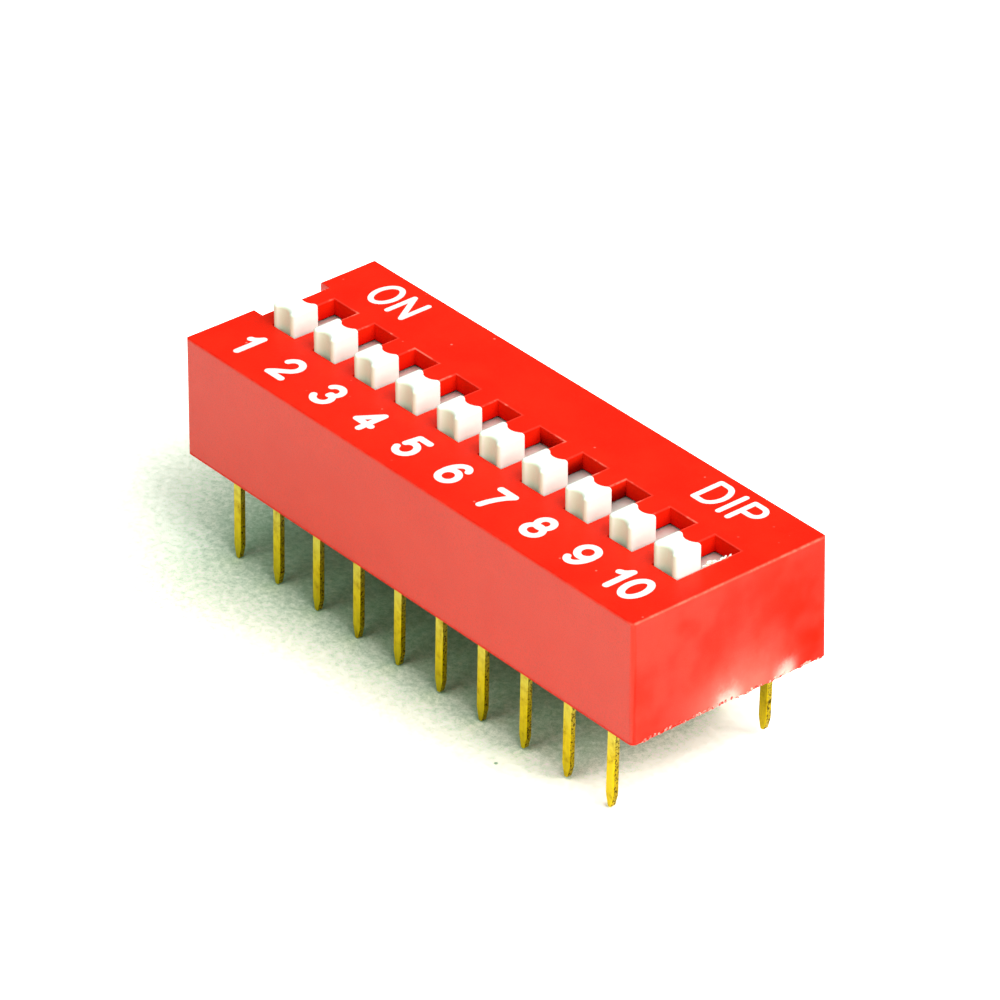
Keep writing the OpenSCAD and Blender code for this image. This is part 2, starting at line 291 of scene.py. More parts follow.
def paint_red_plastic(f):
    spot = f.place()
    height = f.along(spot, "Z")
    cloud = f.noise(spot, 0.55, 3.0)
    mottle = f.noise(spot, 6.0, 4.0, 0.6)
    grain = f.noise(spot, 18.0, 2.0, 0.7)
    base = f.blend(f.between(cloud, 0.3, 0.7), rgb(236, 28, 7), rgb(240, 35, 12))
    base = f.blend(f.between(mottle, 0.5, 0.8) * 0.2, base, rgb(246, 52, 32))
    base = f.blend(f.between(grain, 0.42, 0.72) * 0.45, base, rgb(196, 36, 20))

    # Painted shade: inside the slots the red grows darker towards the flange, as shade in the
    # recess; the slots are also dull.
    outside = slot_place(f, spot)
    inside = f.between(outside, 0.05, 0.01) * f.between(height, TOP_Z - 0.01, TOP_Z - 0.06)
    base = f.blend(inside * f.between(height, TOP_Z - 0.1, FLANGE_Z), base, rgb(214, 16, 6))
    # Painted highlight: a pale line along the slots' upper edges, behind the posts, broken up by
    # noise.
    slot_edge_highlight = f.between(outside, 0.075, 0.05) * f.between(height, TOP_Z - 0.05, TOP_Z - 0.005)
    highlight_breaks = f.between(f.noise(spot, 1.1, 4.0, 0.6), 0.5, 0.62)
    slot_edge_highlight = slot_edge_highlight * f.between(f.along(spot, "Y"), -1.2, -0.6)
    base = f.blend(slot_edge_highlight * (highlight_breaks * 0.6 + 0.1), base, rgb(255, 128, 108))

    on_top = f.between(height, TOP_Z - 0.06, TOP_Z - 0.02)
    upper_edge = f.between(height, TOP_Z - 0.3, TOP_Z - 0.15)
    arris = edge_band(f, spot, HALF_LENGTH, HALF_WIDTH, 0.1)
    patchy = f.between(f.noise(spot, 2.2, 5.0, 0.65), 0.46, 0.6)
    end_face = f.between(f.along(spot, "X"), HALF_LENGTH - 0.02, HALF_LENGTH + 0.01)
    across = f.along(spot, "Y")
    rubbed = f.between(f.noise(spot, 0.3, 3.0, 0.6), 0.42, 0.62)
    far_side = f.between(across, 0.5, 4.6)
    rim = f.between(height, RIM_Z + 0.13, RIM_Z + 0.06)
    on_right = f.between(f.along(spot, "X"), HALF_LENGTH - 0.6, HALF_LENGTH - 0.1)
    worn_and_lit_arris = patchy * 0.6 + on_right * 0.4
    # A pale line along the upper arrises, strongest along the position 10 end: partly wear, partly
    # a painted highlight on the rounded edge.
    base = f.blend(arris * upper_edge * worn_and_lit_arris * (on_right * 0.45 + 0.12), base, rgb(255, 132, 108))

    # Near the lower edge of the end face: a painted reflection of the pale floor, and whitish
    # patches, both with a ragged upper edge.
    ragged = height + (f.noise(spot, 1.6, 4.0, 0.7) - 0.5) * 0.9
    pale = f.between(abs(across - 0.5), 4.2, 0.6) * f.between(ragged, 7.6, 4.4) * end_face
    base = f.blend(pale * pale * 0.28, base, rgb(255, 190, 168))
    whitish_patches = f.most(f.between(abs(across + 0.15), 1.2, 0.1), f.between(abs(across - 2.7), 0.9, 0.1))
    whitish_patches = whitish_patches * f.between(ragged, 5.5, 4.4) * end_face
    base = f.blend(whitish_patches * whitish_patches * 0.9, base, rgb(255, 226, 212))

    dots = f.cells(spot, 1.3)
    sparse = f.between(f.noise(spot, 0.8, 2.0), 0.48, 0.6)
    speck = f.between(dots, 0.085, 0.04) * sparse * on_top
    base = f.blend(speck * 0.45, base, rgb(255, 168, 150))

    relief = grain * 0.7 + mottle * 0.5 + speck * 0.5
    rough = 0.36 + mottle * 0.12 + arris * patchy * 0.12
    dull = f.most(inside, rim * (mottle * 0.8 + 0.1))
    dull = f.most(dull, end_face * (rubbed * 0.3 + far_side * 0.3 + 0.26))
    return {"Base_Color": base, "Roughness": rough, "Normal": f.bump(relief, 0.014, 0.6),
            "Matte": f.most(dull, on_top * 0.65)}


def paint_base_plastic(f):
    spot = f.place()
    mottle = f.noise(spot, 4.0, 4.0, 0.6)
    base = f.blend(f.between(mottle, 0.3, 0.7), rgb(176, 24, 14), rgb(196, 34, 22))
    return {"Base_Color": base, "Roughness": 0.42 + mottle * 0.2,
            "Normal": f.bump(mottle, 0.015, 0.6)}


def paint_resin(f):
    spot = f.place()
    ripple = f.noise(spot, 1.6, 3.0, 0.5)
    fleck = f.between(f.cells(spot, 3.5), 0.16, 0.08)
    base = f.blend(f.between(ripple, 0.3, 0.7), rgb(96, 22, 14), rgb(128, 34, 20))
    base = f.blend(fleck * 0.5, base, rgb(168, 70, 48))
    return {"Base_Color": base, "Roughness": 0.16 + ripple * 0.2,
            "Normal": f.bump(ripple, 0.12, 0.7)}


def paint_ivory(f):
    spot = f.place()
    mottle = f.noise(spot, 5.0, 4.0, 0.6)
    grain = f.noise(spot, 26.0, 2.0, 0.6)
    base = f.blend(f.between(mottle, 0.3, 0.7), rgb(238, 249, 240), rgb(242, 251, 243))
    # Painted shade: faces turned towards -Y, away from the key light, are tinted greener.
    facing = f.node("ShaderNodeNewGeometry", out=1)
    front = f.between(f.along(facing, "Y"), -0.5, -0.95)
    base = f.blend(front * 0.7, base, rgb(214, 244, 208))
    # Painted shade: near the posts' tops, hollows such as the flutes are darkened to olive by
    # ambient occlusion.
    hollow = f.node("ShaderNodeAmbientOcclusion", {"samples": 8, "only_local": True},
                    Distance=0.7 * MM, out=1)
    above = f.between(f.along(spot, "Z"), TOP_Z - 0.3, TOP_Z)
    base = f.blend(f.between(hollow, 0.9, 0.55) * above * 0.9, base, rgb(184, 188, 104))
    return {"Base_Color": base, "Roughness": 0.42 + mottle * 0.14,
            "Normal": f.bump(grain + mottle, 0.008, 0.6)}


def paint_gold(f):
    spot = f.place()
    along = f.noise(f.stretched(spot, (1.0, 1.0, 0.16)), 9.0, 3.0, 0.6)
    mottle = f.noise(spot, 2.6, 4.0, 0.6)
    rough_cut = f.noise(spot, 11.0, 3.0, 0.7)
    facing = f.node("ShaderNodeNewGeometry", out=1)
    side_faces = f.between(abs(f.along(facing, "X")), 0.75, 0.95)
    pits = f.between(rough_cut, 0.49, 0.59) * f.most(side_faces, f.between(mottle, 0.55, 0.7) * 0.4)
    tarnish = f.between(mottle, 0.42, 0.72)
    # Painted reflection: the upper part of each lead, near the body, is paler and greyer, as if
    # showing the floor.
    upper = f.between(f.along(spot, "Z"), RIM_Z - 2.6, RIM_Z - 0.6)
    base = f.blend(f.between(along, 0.3, 0.7), rgb(196, 172, 0), rgb(210, 186, 6))
    base = f.blend(upper * 0.65, base, rgb(184, 180, 84))
    base = f.blend(tarnish * 0.5, base, rgb(150, 122, 2))
    # Painted shade: the leads' side faces, turned along the row, are darker; pits gather on them
    # too.
    base = f.blend(side_faces * 0.35, base, rgb(112, 88, 2))
    base = f.blend(pits * 0.85, base, rgb(46, 28, 2))
    height = along * 0.6 - pits * 1.2 + mottle * 0.5
    return {"Base_Color": base, "Roughness": 0.42 + tarnish * 0.14 + pits * 0.25,
            "Normal": f.bump(height, 0.016, 0.8)}


def paint_spring(f):
    spot = f.place()
    brushed = f.noise(f.stretched(spot, (1.0, 0.12, 1.0)), 14.0, 2.0)
    base = f.blend(f.between(brushed, 0.3, 0.7), rgb(222, 180, 92), rgb(238, 204, 124))
    return {"Base_Color": base, "Roughness": 0.2 + brushed * 0.15,
            "Normal": f.bump(brushed, 0.004, 0.5)}


def paint_flash(f):
    spot = f.place()
    torn = f.noise(spot, 5.0, 3.0, 0.6)
    base = f.blend(f.between(torn, 0.42, 0.58), rgb(222, 40, 24), rgb(250, 190, 172))
    return {"Base_Color": base, "Roughness": 0.5 + torn * 0.2,
            "Normal": f.bump(torn, 0.01, 0.6)}


def paint_ink(f):
    spot = f.place()
    thin = f.between(f.noise(spot, 7.0, 4.0, 0.65), 0.62, 0.78)
    base = f.blend(thin * 0.3, rgb(240, 240, 238), rgb(250, 205, 192))
    return {"Base_Color": base, "Roughness": 0.5 + thin * 0.1,
            "Normal": f.bump(f.noise(spot, 18.0), 0.003, 0.6)}


RED = make_material("red_plastic", paint_red_plastic, IOR=1.54,
                    Specular_Tint=(1.0, 0.98, 0.72, 1.0))
BASE_RED = make_material("base_plastic", paint_base_plastic, IOR=1.5)
RESIN = make_material("sealing_resin", paint_resin, IOR=1.52)
IVORY = make_material("ivory_plastic", paint_ivory, IOR=1.5)
GOLD = make_material("gold_plating", paint_gold, Metallic=1.0)
SPRING = make_material("spring_plating", paint_spring, Metallic=1.0)
FLASH = make_material("torn_flash", paint_flash, IOR=1.5)
INK = make_material("printing_ink", paint_ink, IOR=1.45)


def ray_kinds(f):
    """Whether the shading is for a camera ray, and whether for a glossy one."""
    path = f.tree.nodes.new("ShaderNodeLightPath")
    return Term(f, path.outputs["Is Camera Ray"]), Term(f, path.outputs["Is Glossy Ray"])


def make_paper():
    """The pale floor: one diffuse sheet lit by the lamps, with the part's shadow also painted on it
    from ambient occlusion; white where nothing shades it.
    """
    material = bpy.data.materials.new("pale_floor")
    material.use_nodes = True
    f = Finish(material.node_tree)
    spot = f.place()
    grain = f.noise(spot, 3.4, 4.0, 0.8)
    # Painted light and shade: the floor is painted lighter towards the position 10 end, where the
    # key light is, and beyond the position 1 end its painted shadow is pulled towards a middle
    # value.
    near_end = f.between(f.along(spot, "X"), 6.0, 12.0)
    far_end = f.between(f.along(spot, "X"), -3.0, -12.0)
    lean = f.node("ShaderNodeCombineXYZ", None, *SHADE_LEAN)
    open_sky = f.node("ShaderNodeAmbientOcclusion", {"samples": 16}, Distance=SHADE_REACH * MM,
                      Normal=lean, out=1)
    levelled = (0.58 - open_sky) * far_end * f.between(open_sky, 0.97, 0.85) * 0.42
    crumbs = f.between(f.cells(spot, 0.5), 0.09, 0.05) * f.between(f.noise(spot, 0.21), 0.55, 0.6)
    amount = open_sky + levelled + near_end * 0.09 + (grain - 0.5) * 0.28 - crumbs * 0.25
    # The painted shadow's colour comes from the SHADE ramp; the lamps light it on top.
    tint = f.node("ShaderNodeValToRGB", {"ramp": SHADE}, amount)
    seen = f.node("ShaderNodeVectorMath", {"operation": "SCALE"}, tint, Scale=FLOOR_GAIN)
    is_camera, is_glossy = ray_kinds(f)
    seen_directly = f.most(is_camera, is_glossy)
    bounce = f.blend(f.between(f.along(spot, "X"), -20.0, 0.0), *FLOOR_BOUNCE)
    colour = f.blend(seen_directly, bounce, seen)
    f.node("ShaderNodeOutputMaterial", None, f.node("ShaderNodeBsdfDiffuse", None, colour))
    return material


# ---------------------------------------------------------------- pieces

def add_object(name, mesh, material):
    mesh.materials.clear()
    mesh.materials.append(material)
    piece = bpy.data.objects.new(name, mesh)
    bpy.context.scene.collection.objects.link(piece)
    return piece


def welded_copy(node):
    """A bmesh of a CAD node, its corners merged and its flat faces whole."""
    bm = bmesh.new()
    bm.from_mesh(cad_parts[node].data)
    bmesh.ops.remove_doubles(bm, verts=bm.verts, dist=WELD)
    bmesh.ops.dissolve_limit(bm, angle_limit=math.radians(FLAT_TURN), verts=bm.verts,
                             edges=bm.edges)
    return bm


def edge_turn(edge):
    """Degrees by which the surface turns at an edge."""
    return math.degrees(edge.calc_face_angle(0.0))


def apply_modifiers(piece):
    """Turns what a piece's modifiers make of it into its plain mesh."""
    evaluated = piece.evaluated_get(bpy.context.evaluated_depsgraph_get())
    mesh = bpy.data.meshes.new_from_object(evaluated)
    piece.modifiers.clear()
    piece.data = mesh
    return mesh


def soften(piece, widest, weights):
    """Rounds the weighted edges and keeps the flat faces flat to the eye."""
    mesh = piece.data
    layer = mesh.attributes.new("bevel_weight_edge", "FLOAT", "EDGE")
    layer.data.foreach_set("value", weights)
    bevel = piece.modifiers.new("edges", "BEVEL")
    bevel.limit_method = "WEIGHT"
    bevel.width = widest * MM
    bevel.segments = BEVEL_SEGMENTS
    bevel.use_clamp_overlap = True
    bevelled = apply_modifiers(piece)
    bevelled.polygons.foreach_set("use_smooth", [True] * len(bevelled.polygons))
    bevelled.set_sharp_from_angle(angle=math.radians(SMOOTH_TURN))
    weighted = piece.modifiers.new("normals", "WEIGHTED_NORMAL")
    weighted.keep_sharp = True
    weighted.weight = 100
    apply_modifiers(piece)


def cad_piece(name, node, material, rounding, adjust=None):
    """The CAD node's form, adjusted, with sharp edges rounded by rounding(edge) millimetres."""
    bm = welded_copy(node)
    if adjust:
        adjust(bm)
    widths = [rounding(edge) if edge_turn(edge) > SHARP_TURN else 0.0 for edge in bm.edges]
    mesh = bpy.data.meshes.new(name)
    bm.to_mesh(mesh)
    bm.free()
    widest = max(widths)
    piece = add_object(name, mesh, material)
    soften(piece, widest, [w / widest for w in widths])
    return piece


def cover_rounding(edge):
    """Rounding of one sharp edge of the cover, by where it is."""
    a, b = (v.co / MM for v in edge.verts)
    middle = (a + b) / 2
    if max(abs(a.z - RIM_Z), abs(b.z - RIM_Z)) < TOUCH:
        outside = abs(middle.x) > HALF_LENGTH - 0.1 or abs(middle.y) > HALF_WIDTH - 0.1
        return RIM_EDGE if outside else 0.0
    if middle.z < CEILING_Z + 0.05:
        return 0.0
    if abs(a.z - b.z) > 0.05:
        return NOTCH_EDGE * 0.6 if middle.x < station(1) - PITCH / 2 else 0.0
    return SLOT_EDGE


def lead_rounding(edge):
    """Rounding of one sharp edge of a lead; what the base hides stays sharp."""
    a, b = (v.co / MM for v in edge.verts)
    return LEAD_EDGE if max(a.z, b.z) < RIM_Z + LEAD_VISIBLE else 0.0


def open_slots(bm):
    """Moves each slot's long sides towards position 10; the wider side takes its ribs along."""
    for vertex in bm.verts:
        x, y, z = vertex.co / MM
        beside = x - station(round(x / PITCH + (POSITIONS + 1) / 2))
        if z < CEILING_Z - RIB_DROP or abs(y) > SLOT_HALF_LENGTH + 0.05:
            continue
        rib_end = abs(beside - RIB_START) < TOUCH and z < CEILING_Z + TOUCH
        if rib_end or abs(beside - SLOT_HALF_WIDTH) < TOUCH:
            vertex.co.x += SLOT_PLAY * MM
        elif abs(beside + SLOT_HALF_WIDTH) < TOUCH:
            vertex.co.x += SLOT_SNUG * MM


def shift_notch(bm):
    """Moves the notch in the position 1 end a little towards the ON side and lengthens it."""
    for vertex in bm.verts:
        x, y, z = vertex.co / MM
        if x < NOTCH_X + 0.1 and z > TOP_Z - NOTCH_DEPTH_ZONE and abs(y) < NOTCH_SIDE_ZONE:
            vertex.co.y += NOTCH_SHIFT * MM
            if abs(x - NOTCH_X) < 0.05:
                vertex.co.x += NOTCH_REACH * MM


def sharpen_corners(bm):
    """Draws the cover's four outer uprights out to a smaller radius."""
    for vertex in bm.verts:
        x, y, z = vertex.co / MM
        slope = (TOP_Z - z) / (TOP_Z - RIM_Z)
        end = HALF_LENGTH + slope * (RIM_HALF_LENGTH - HALF_LENGTH)
        side = HALF_WIDTH + slope * (RIM_HALF_WIDTH - HALF_WIDTH)
        out = Vector((abs(x) - end + CAD_CORNER, abs(y) - side + CAD_CORNER))
        if min(out) > -0.001 and abs(out.length - CAD_CORNER) < 0.03:
            tight = Vector((end - CORNER, side - CORNER)) + out.normalized() * CORNER
            vertex.co.x = math.copysign(tight.x * MM, x)
            vertex.co.y = math.copysign(tight.y * MM, y)


def reshape_cover(bm):
    open_slots(bm)
    shift_notch(bm)
    sharpen_corners(bm)


def make_cover():
    piece = cad_piece("moulded_cover", "cover", RED, cover_rounding, reshape_cover)
    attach(piece, RIDER)
    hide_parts("cover")


def post_outline():
    """Points round a post's plan with their outward directions, about its own middle."""
    half_x, half_y = (POST_RIGHT - POST_LEFT) / 2, (POST_BACK - POST_FRONT) / 2
    lobe_x, lobe_y = half_x - POST_LOBE, half_y - POST_LOBE
    flute = (lobe_x ** 2 + POST_FLUTE ** 2) / (2 * POST_FLUTE) - POST_LOBE
    flute_y = half_y - POST_FLUTE + flute
    turn = math.atan2(flute_y - lobe_y, lobe_x)
    quarter = []
    for i in range(LOBE_STEPS + 1):
        angle = (math.pi - turn) * i / LOBE_STEPS
        out = Vector((math.cos(angle), math.sin(angle)))
        quarter.append((Vector((lobe_x, lobe_y)) + POST_LOBE * out, out))
    for i in range(1, FLUTE_STEPS + 1):
        angle = -turn - (math.pi / 2 - turn) * i / FLUTE_STEPS
        inward = Vector((math.cos(angle), math.sin(angle)))
        quarter.append((Vector((0, flute_y)) + flute * inward, -inward))
    mirror = [(Vector((-p.x, p.y)), Vector((-n.x, n.y))) for p, n in reversed(quarter[:-1])]
    back = quarter + mirror
    front = [(Vector((-p.x, -p.y)), Vector((-n.x, -n.y))) for p, n in back]
    return back + front


def add_post(bm, x, y):
    """A closed fluted post with a rounded crown; returns its vertices with their directions."""
    outline = post_outline()
    levels = [(0.0, FLANGE_Z - POST_ROOT, 0.0)]
    for i in range(CROWN_STEPS + 1):
        angle = math.pi / 2 * i / CROWN_STEPS
        levels.append((POST_CROWN * (1 - math.cos(angle)),
                       POST_Z - POST_CROWN * (1 - math.sin(angle)), math.sin(angle)))
    rings, facing = [], []
    for inset, z, rise in levels:
        ring = []
        for place, out in outline:
            flat = place - out * inset
            ring.append(bm.verts.new(((x + flat.x) * MM, (y + flat.y) * MM, z * MM)))
            facing.append((ring[-1], Vector((*(out * math.sqrt(1 - rise * rise)), rise))))
        rings.append(ring)
    for low_ring, high_ring in zip(rings, rings[1:]):
        for i in range(len(outline)):
            j = (i + 1) % len(outline)
            bm.faces.new((low_ring[i], low_ring[j], high_ring[j], high_ring[i]))
    bm.faces.new(rings[-1])
    bm.faces.new(reversed(rings[0]))
    return facing


def make_slider(k):
    """The CAD slider up to its flange, with a smooth fluted post standing on it."""
    bm = welded_copy(f"actuator_{k}")
    everything = bm.verts[:] + bm.edges[:] + bm.faces[:]
    bmesh.ops.bisect_plane(bm, geom=everything, plane_co=(0, 0, (FLANGE_Z - TOUCH) * MM),
                           plane_no=(0, 0, 1), clear_outer=True)
    bmesh.ops.holes_fill(bm, edges=[e for e in bm.edges if e.is_boundary])
    for face in bm.faces:
        face.smooth = False
    kept = set(bm.faces)
    facing = add_post(bm, station(k) + (POST_LEFT + POST_RIGHT) / 2, (POST_FRONT + POST_BACK) / 2)
    for face in bm.faces:
        face.smooth = face not in kept
    bm.verts.index_update()
    normals = [(0, 0, 0)] * len(bm.verts)
    for vertex, direction in facing:
        normals[vertex.index] = tuple(direction)
    mesh = bpy.data.meshes.new(f"fluted_slider_{k}")
    bm.to_mesh(mesh)
    bm.free()
    mesh.normals_split_custom_set_from_vertices(normals)
    return add_object(mesh.name, mesh, IVORY)


def make_sliders():
    for k in range(1, POSITIONS + 1):
        piece = make_slider(k)
        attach(piece, f"slider_{k}")
        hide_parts(f"actuator_{k}")


def lead_row_tree():
    """Geometry Nodes that repeat one lead along a row."""
    tree = bpy.data.node_groups.new("lead row", "GeometryNodeTree")
    sockets = tree.interface
    sockets.new_socket("Geometry", in_out="INPUT", socket_type="NodeSocketGeometry")
    for name, kind in (("Positions", "NodeSocketInt"), ("Pitch", "NodeSocketFloat"),
                       ("Tip trim", "NodeSocketFloat"), ("Seed", "NodeSocketInt"),
                       ("Finish", "NodeSocketMaterial")):
        sockets.new_socket(name, in_out="INPUT", socket_type=kind)
    sockets.new_socket("Geometry", in_out="OUTPUT", socket_type="NodeSocketGeometry")
    new, link = tree.nodes.new, tree.links.new
    source, result = new("NodeGroupInput"), new("NodeGroupOutput")
    step = new("ShaderNodeCombineXYZ")
    link(source.outputs["Pitch"], step.inputs["X"])
    row = new("GeometryNodeMeshLine")
    row.mode = "OFFSET"
    link(source.outputs["Positions"], row.inputs["Count"])
    link(step.outputs[0], row.inputs["Offset"])
    leads = new("GeometryNodeInstanceOnPoints")
    link(row.outputs[0], leads.inputs["Points"])
    link(source.outputs["Geometry"], leads.inputs["Instance"])
    whole = new("GeometryNodeRealizeInstances")
    link(leads.outputs[0], whole.inputs[0])
    place, parts = new("GeometryNodeInputPosition"), new("ShaderNodeSeparateXYZ")
    link(place.outputs[0], parts.inputs[0])
    number = math_node(tree, "ROUND", math_node(tree, "DIVIDE", parts.outputs["X"],
                                                source.outputs["Pitch"]))
    height = math_node(tree, "DIVIDE", parts.outputs["Z"], RIM_Z * MM)
    drop = math_node(tree, "SUBTRACT", 1.0, height)
    clamped = math_node(tree, "MAXIMUM", drop, 0.0)
    chance = new("FunctionNodeRandomValue")
    chance.data_type = "FLOAT"
    link(number, chance.inputs["ID"])
    link(source.outputs["Seed"], chance.inputs["Seed"])
    lift = math_node(tree, "MULTIPLY", math_node(tree, "MULTIPLY", clamped, chance.outputs[1]),
                     source.outputs["Tip trim"])
    offset = new("ShaderNodeCombineXYZ")
    link(lift, offset.inputs["Z"])
    trimmed = new("GeometryNodeSetPosition")
    link(whole.outputs[0], trimmed.inputs["Geometry"])
    link(offset.outputs[0], trimmed.inputs["Offset"])
    painted = new("GeometryNodeSetMaterial")
    link(trimmed.outputs[0], painted.inputs["Geometry"])
    link(source.outputs["Finish"], painted.inputs["Material"])
    link(painted.outputs[0], result.inputs[0])
    return tree


def math_node(tree, operation, first, second=None):
    """One maths node of a Geometry Nodes tree; its result socket."""
    node = tree.nodes.new("ShaderNodeMath")
    node.operation = operation
    for socket, value in zip(node.inputs, (first, second)):
        if isinstance(value, bpy.types.NodeSocket):
            tree.links.new(value, socket)
        elif value is not None:
            socket.default_value = value
    return node.outputs[0]


def flash_tree():
    """Geometry Nodes that scatter torn crumbs of plastic along an edge."""
    tree = bpy.data.node_groups.new("moulding flash", "GeometryNodeTree")
    sockets = tree.interface
    for name, kind in (("Crumbs", "NodeSocketInt"), ("Start", "NodeSocketVector"),
                       ("End", "NodeSocketVector"), ("Spread", "NodeSocketVector"),
                       ("Size", "NodeSocketFloat"), ("Seed", "NodeSocketInt"),
                       ("Finish", "NodeSocketMaterial")):
        sockets.new_socket(name, in_out="INPUT", socket_type=kind)
    sockets.new_socket("Geometry", in_out="OUTPUT", socket_type="NodeSocketGeometry")
    new, link = tree.nodes.new, tree.links.new
    source, result = new("NodeGroupInput"), new("NodeGroupOutput")
    edge = new("GeometryNodeMeshLine")
    edge.mode = "END_POINTS"
    link(source.outputs["Crumbs"], edge.inputs["Count"])
    link(source.outputs["Start"], edge.inputs["Start Location"])
    link(source.outputs["End"], edge.inputs["Offset"])

    def chance(low, high):
        node = new("FunctionNodeRandomValue")
        node.data_type = "FLOAT_VECTOR"
        link(source.outputs["Seed"], node.inputs["Seed"])
        node.inputs[0].default_value = low
        node.inputs[1].default_value = high
        return node.outputs[0]

    stray = new("ShaderNodeVectorMath")
    stray.operation = "MULTIPLY"
    link(chance((-1, -1, -1), (1, 1, 1)), stray.inputs[0])
    link(source.outputs["Spread"], stray.inputs[1])
    loose = new("GeometryNodeSetPosition")
    link(edge.outputs[0], loose.inputs["Geometry"])
    link(stray.outputs[0], loose.inputs["Offset"])
    crumb = new("GeometryNodeMeshIcoSphere")
    crumb.inputs["Subdivisions"].default_value = 1
    link(source.outputs["Size"], crumb.inputs["Radius"])
    crumbs = new("GeometryNodeInstanceOnPoints")
    link(loose.outputs[0], crumbs.inputs["Points"])
    link(crumb.outputs[0], crumbs.inputs["Instance"])
    link(chance((-0.5, -0.5, -0.5), (0.5, 0.5, 0.5)), crumbs.inputs["Rotation"])
    link(chance((0.25, 0.5, 0.3), (0.6, 2.2, 1.0)), crumbs.inputs["Scale"])
    whole = new("GeometryNodeRealizeInstances")
    link(crumbs.outputs[0], whole.inputs[0])
    painted = new("GeometryNodeSetMaterial")
    link(whole.outputs[0], painted.inputs["Geometry"])
    link(source.outputs["Finish"], painted.inputs["Material"])
    link(painted.outputs[0], result.inputs[0])
    return tree


def run_tree(piece, tree, **values):
    """Gives a piece the plain mesh that a Geometry Nodes tree makes of it."""
    modifier = piece.modifiers.new("nodes", "NODES")
    modifier.node_group = tree
    for name, value in values.items():
        set_input(modifier, name.replace("_", " "), value)
    apply_modifiers(piece)


def set_input(modifier, name, value):
    """Sets a Geometry Nodes input through its socket's identifier."""
    for item in modifier.node_group.interface.items_tree:
        if item.name == name and item.in_out == "INPUT":
            modifier[item.identifier] = value


def lean_and_trim(mesh, trim):
    """Stands the lead over towards position 1 and lifts its tip by the trim."""
    for vertex in mesh.vertices:
        drop = max(0.0, RIM_Z * MM - vertex.co.z) / (RIM_Z * MM)
        vertex.co.x -= LEAD_LEAN * MM * drop
        vertex.co.z += trim * MM * drop


def make_leads():
    tree = lead_row_tree()
    for row, trim in (("front", 0.0), ("rear", REAR_TRIM)):
        piece = cad_piece(f"{row}_leads", f"{row}_terminal_1", GOLD, lead_rounding)
        lean_and_trim(piece.data, trim)
        run_tree(piece, tree, Positions=POSITIONS, Pitch=PITCH * MM, Tip_trim=TIP_TRIM * MM,
                 Seed=LEAD_SEED, Finish=GOLD)
        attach(piece, RIDER)
        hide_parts(*[f"{row}_terminal_{k}" for k in range(1, POSITIONS + 1)])


def millimetres(vector):
    return tuple(v * MM for v in vector)


def make_crumbs(tree, material, name, slot, start, end, spread, size, count, seed):
    piece = add_object(name, bpy.data.meshes.new(name), material)
    run_tree(piece, tree, Crumbs=count, Start=millimetres(start), End=millimetres(end),
             Spread=millimetres(spread), Size=size * MM, Seed=seed, Finish=material)
    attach(piece, RIDER)


def make_flash():
    """Torn flash along the rim of the position 10 end, and a shaving caught in its slot."""
    tree = flash_tree()
    make_crumbs(tree, FLASH, *RIM_FLASH)
    make_crumbs(tree, IVORY, *SLOT_SHAVING)


def dress_hidden_nodes():
    """The pieces inside keep their CAD form and get their finish."""
    finishes = {"base": BASE_RED, "base_seal": RESIN}
    for k in range(1, POSITIONS + 1):
        finishes[f"moving_contact_{k}"] = SPRING
    for node, material in finishes.items():
        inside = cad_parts[node]
        if not inside.data.materials:
            inside.data.materials.append(None)
        for seat in inside.material_slots:
            seat.link = "OBJECT"
            seat.material = material


# ---------------------------------------------------------------- print

def bow(cx, cy, rx, ry, start, end, steps=14):
    """Points of an elliptical arc, angles in degrees."""
    return [(cx + rx * math.cos(math.radians(start + (end - start) * i / steps)),
             cy + ry * math.sin(math.radians(start + (end - start) * i / steps)))
            for i in range(steps + 1)]


SIX = [bow(0.0, -0.25, 0.40, 0.41, 0, 360, 24),
       bow(0.06, -0.1, 0.47, 0.76, 182, 90, 10) + bow(0.06, 0.36, 0.28, 0.30, 90, 22, 6)]

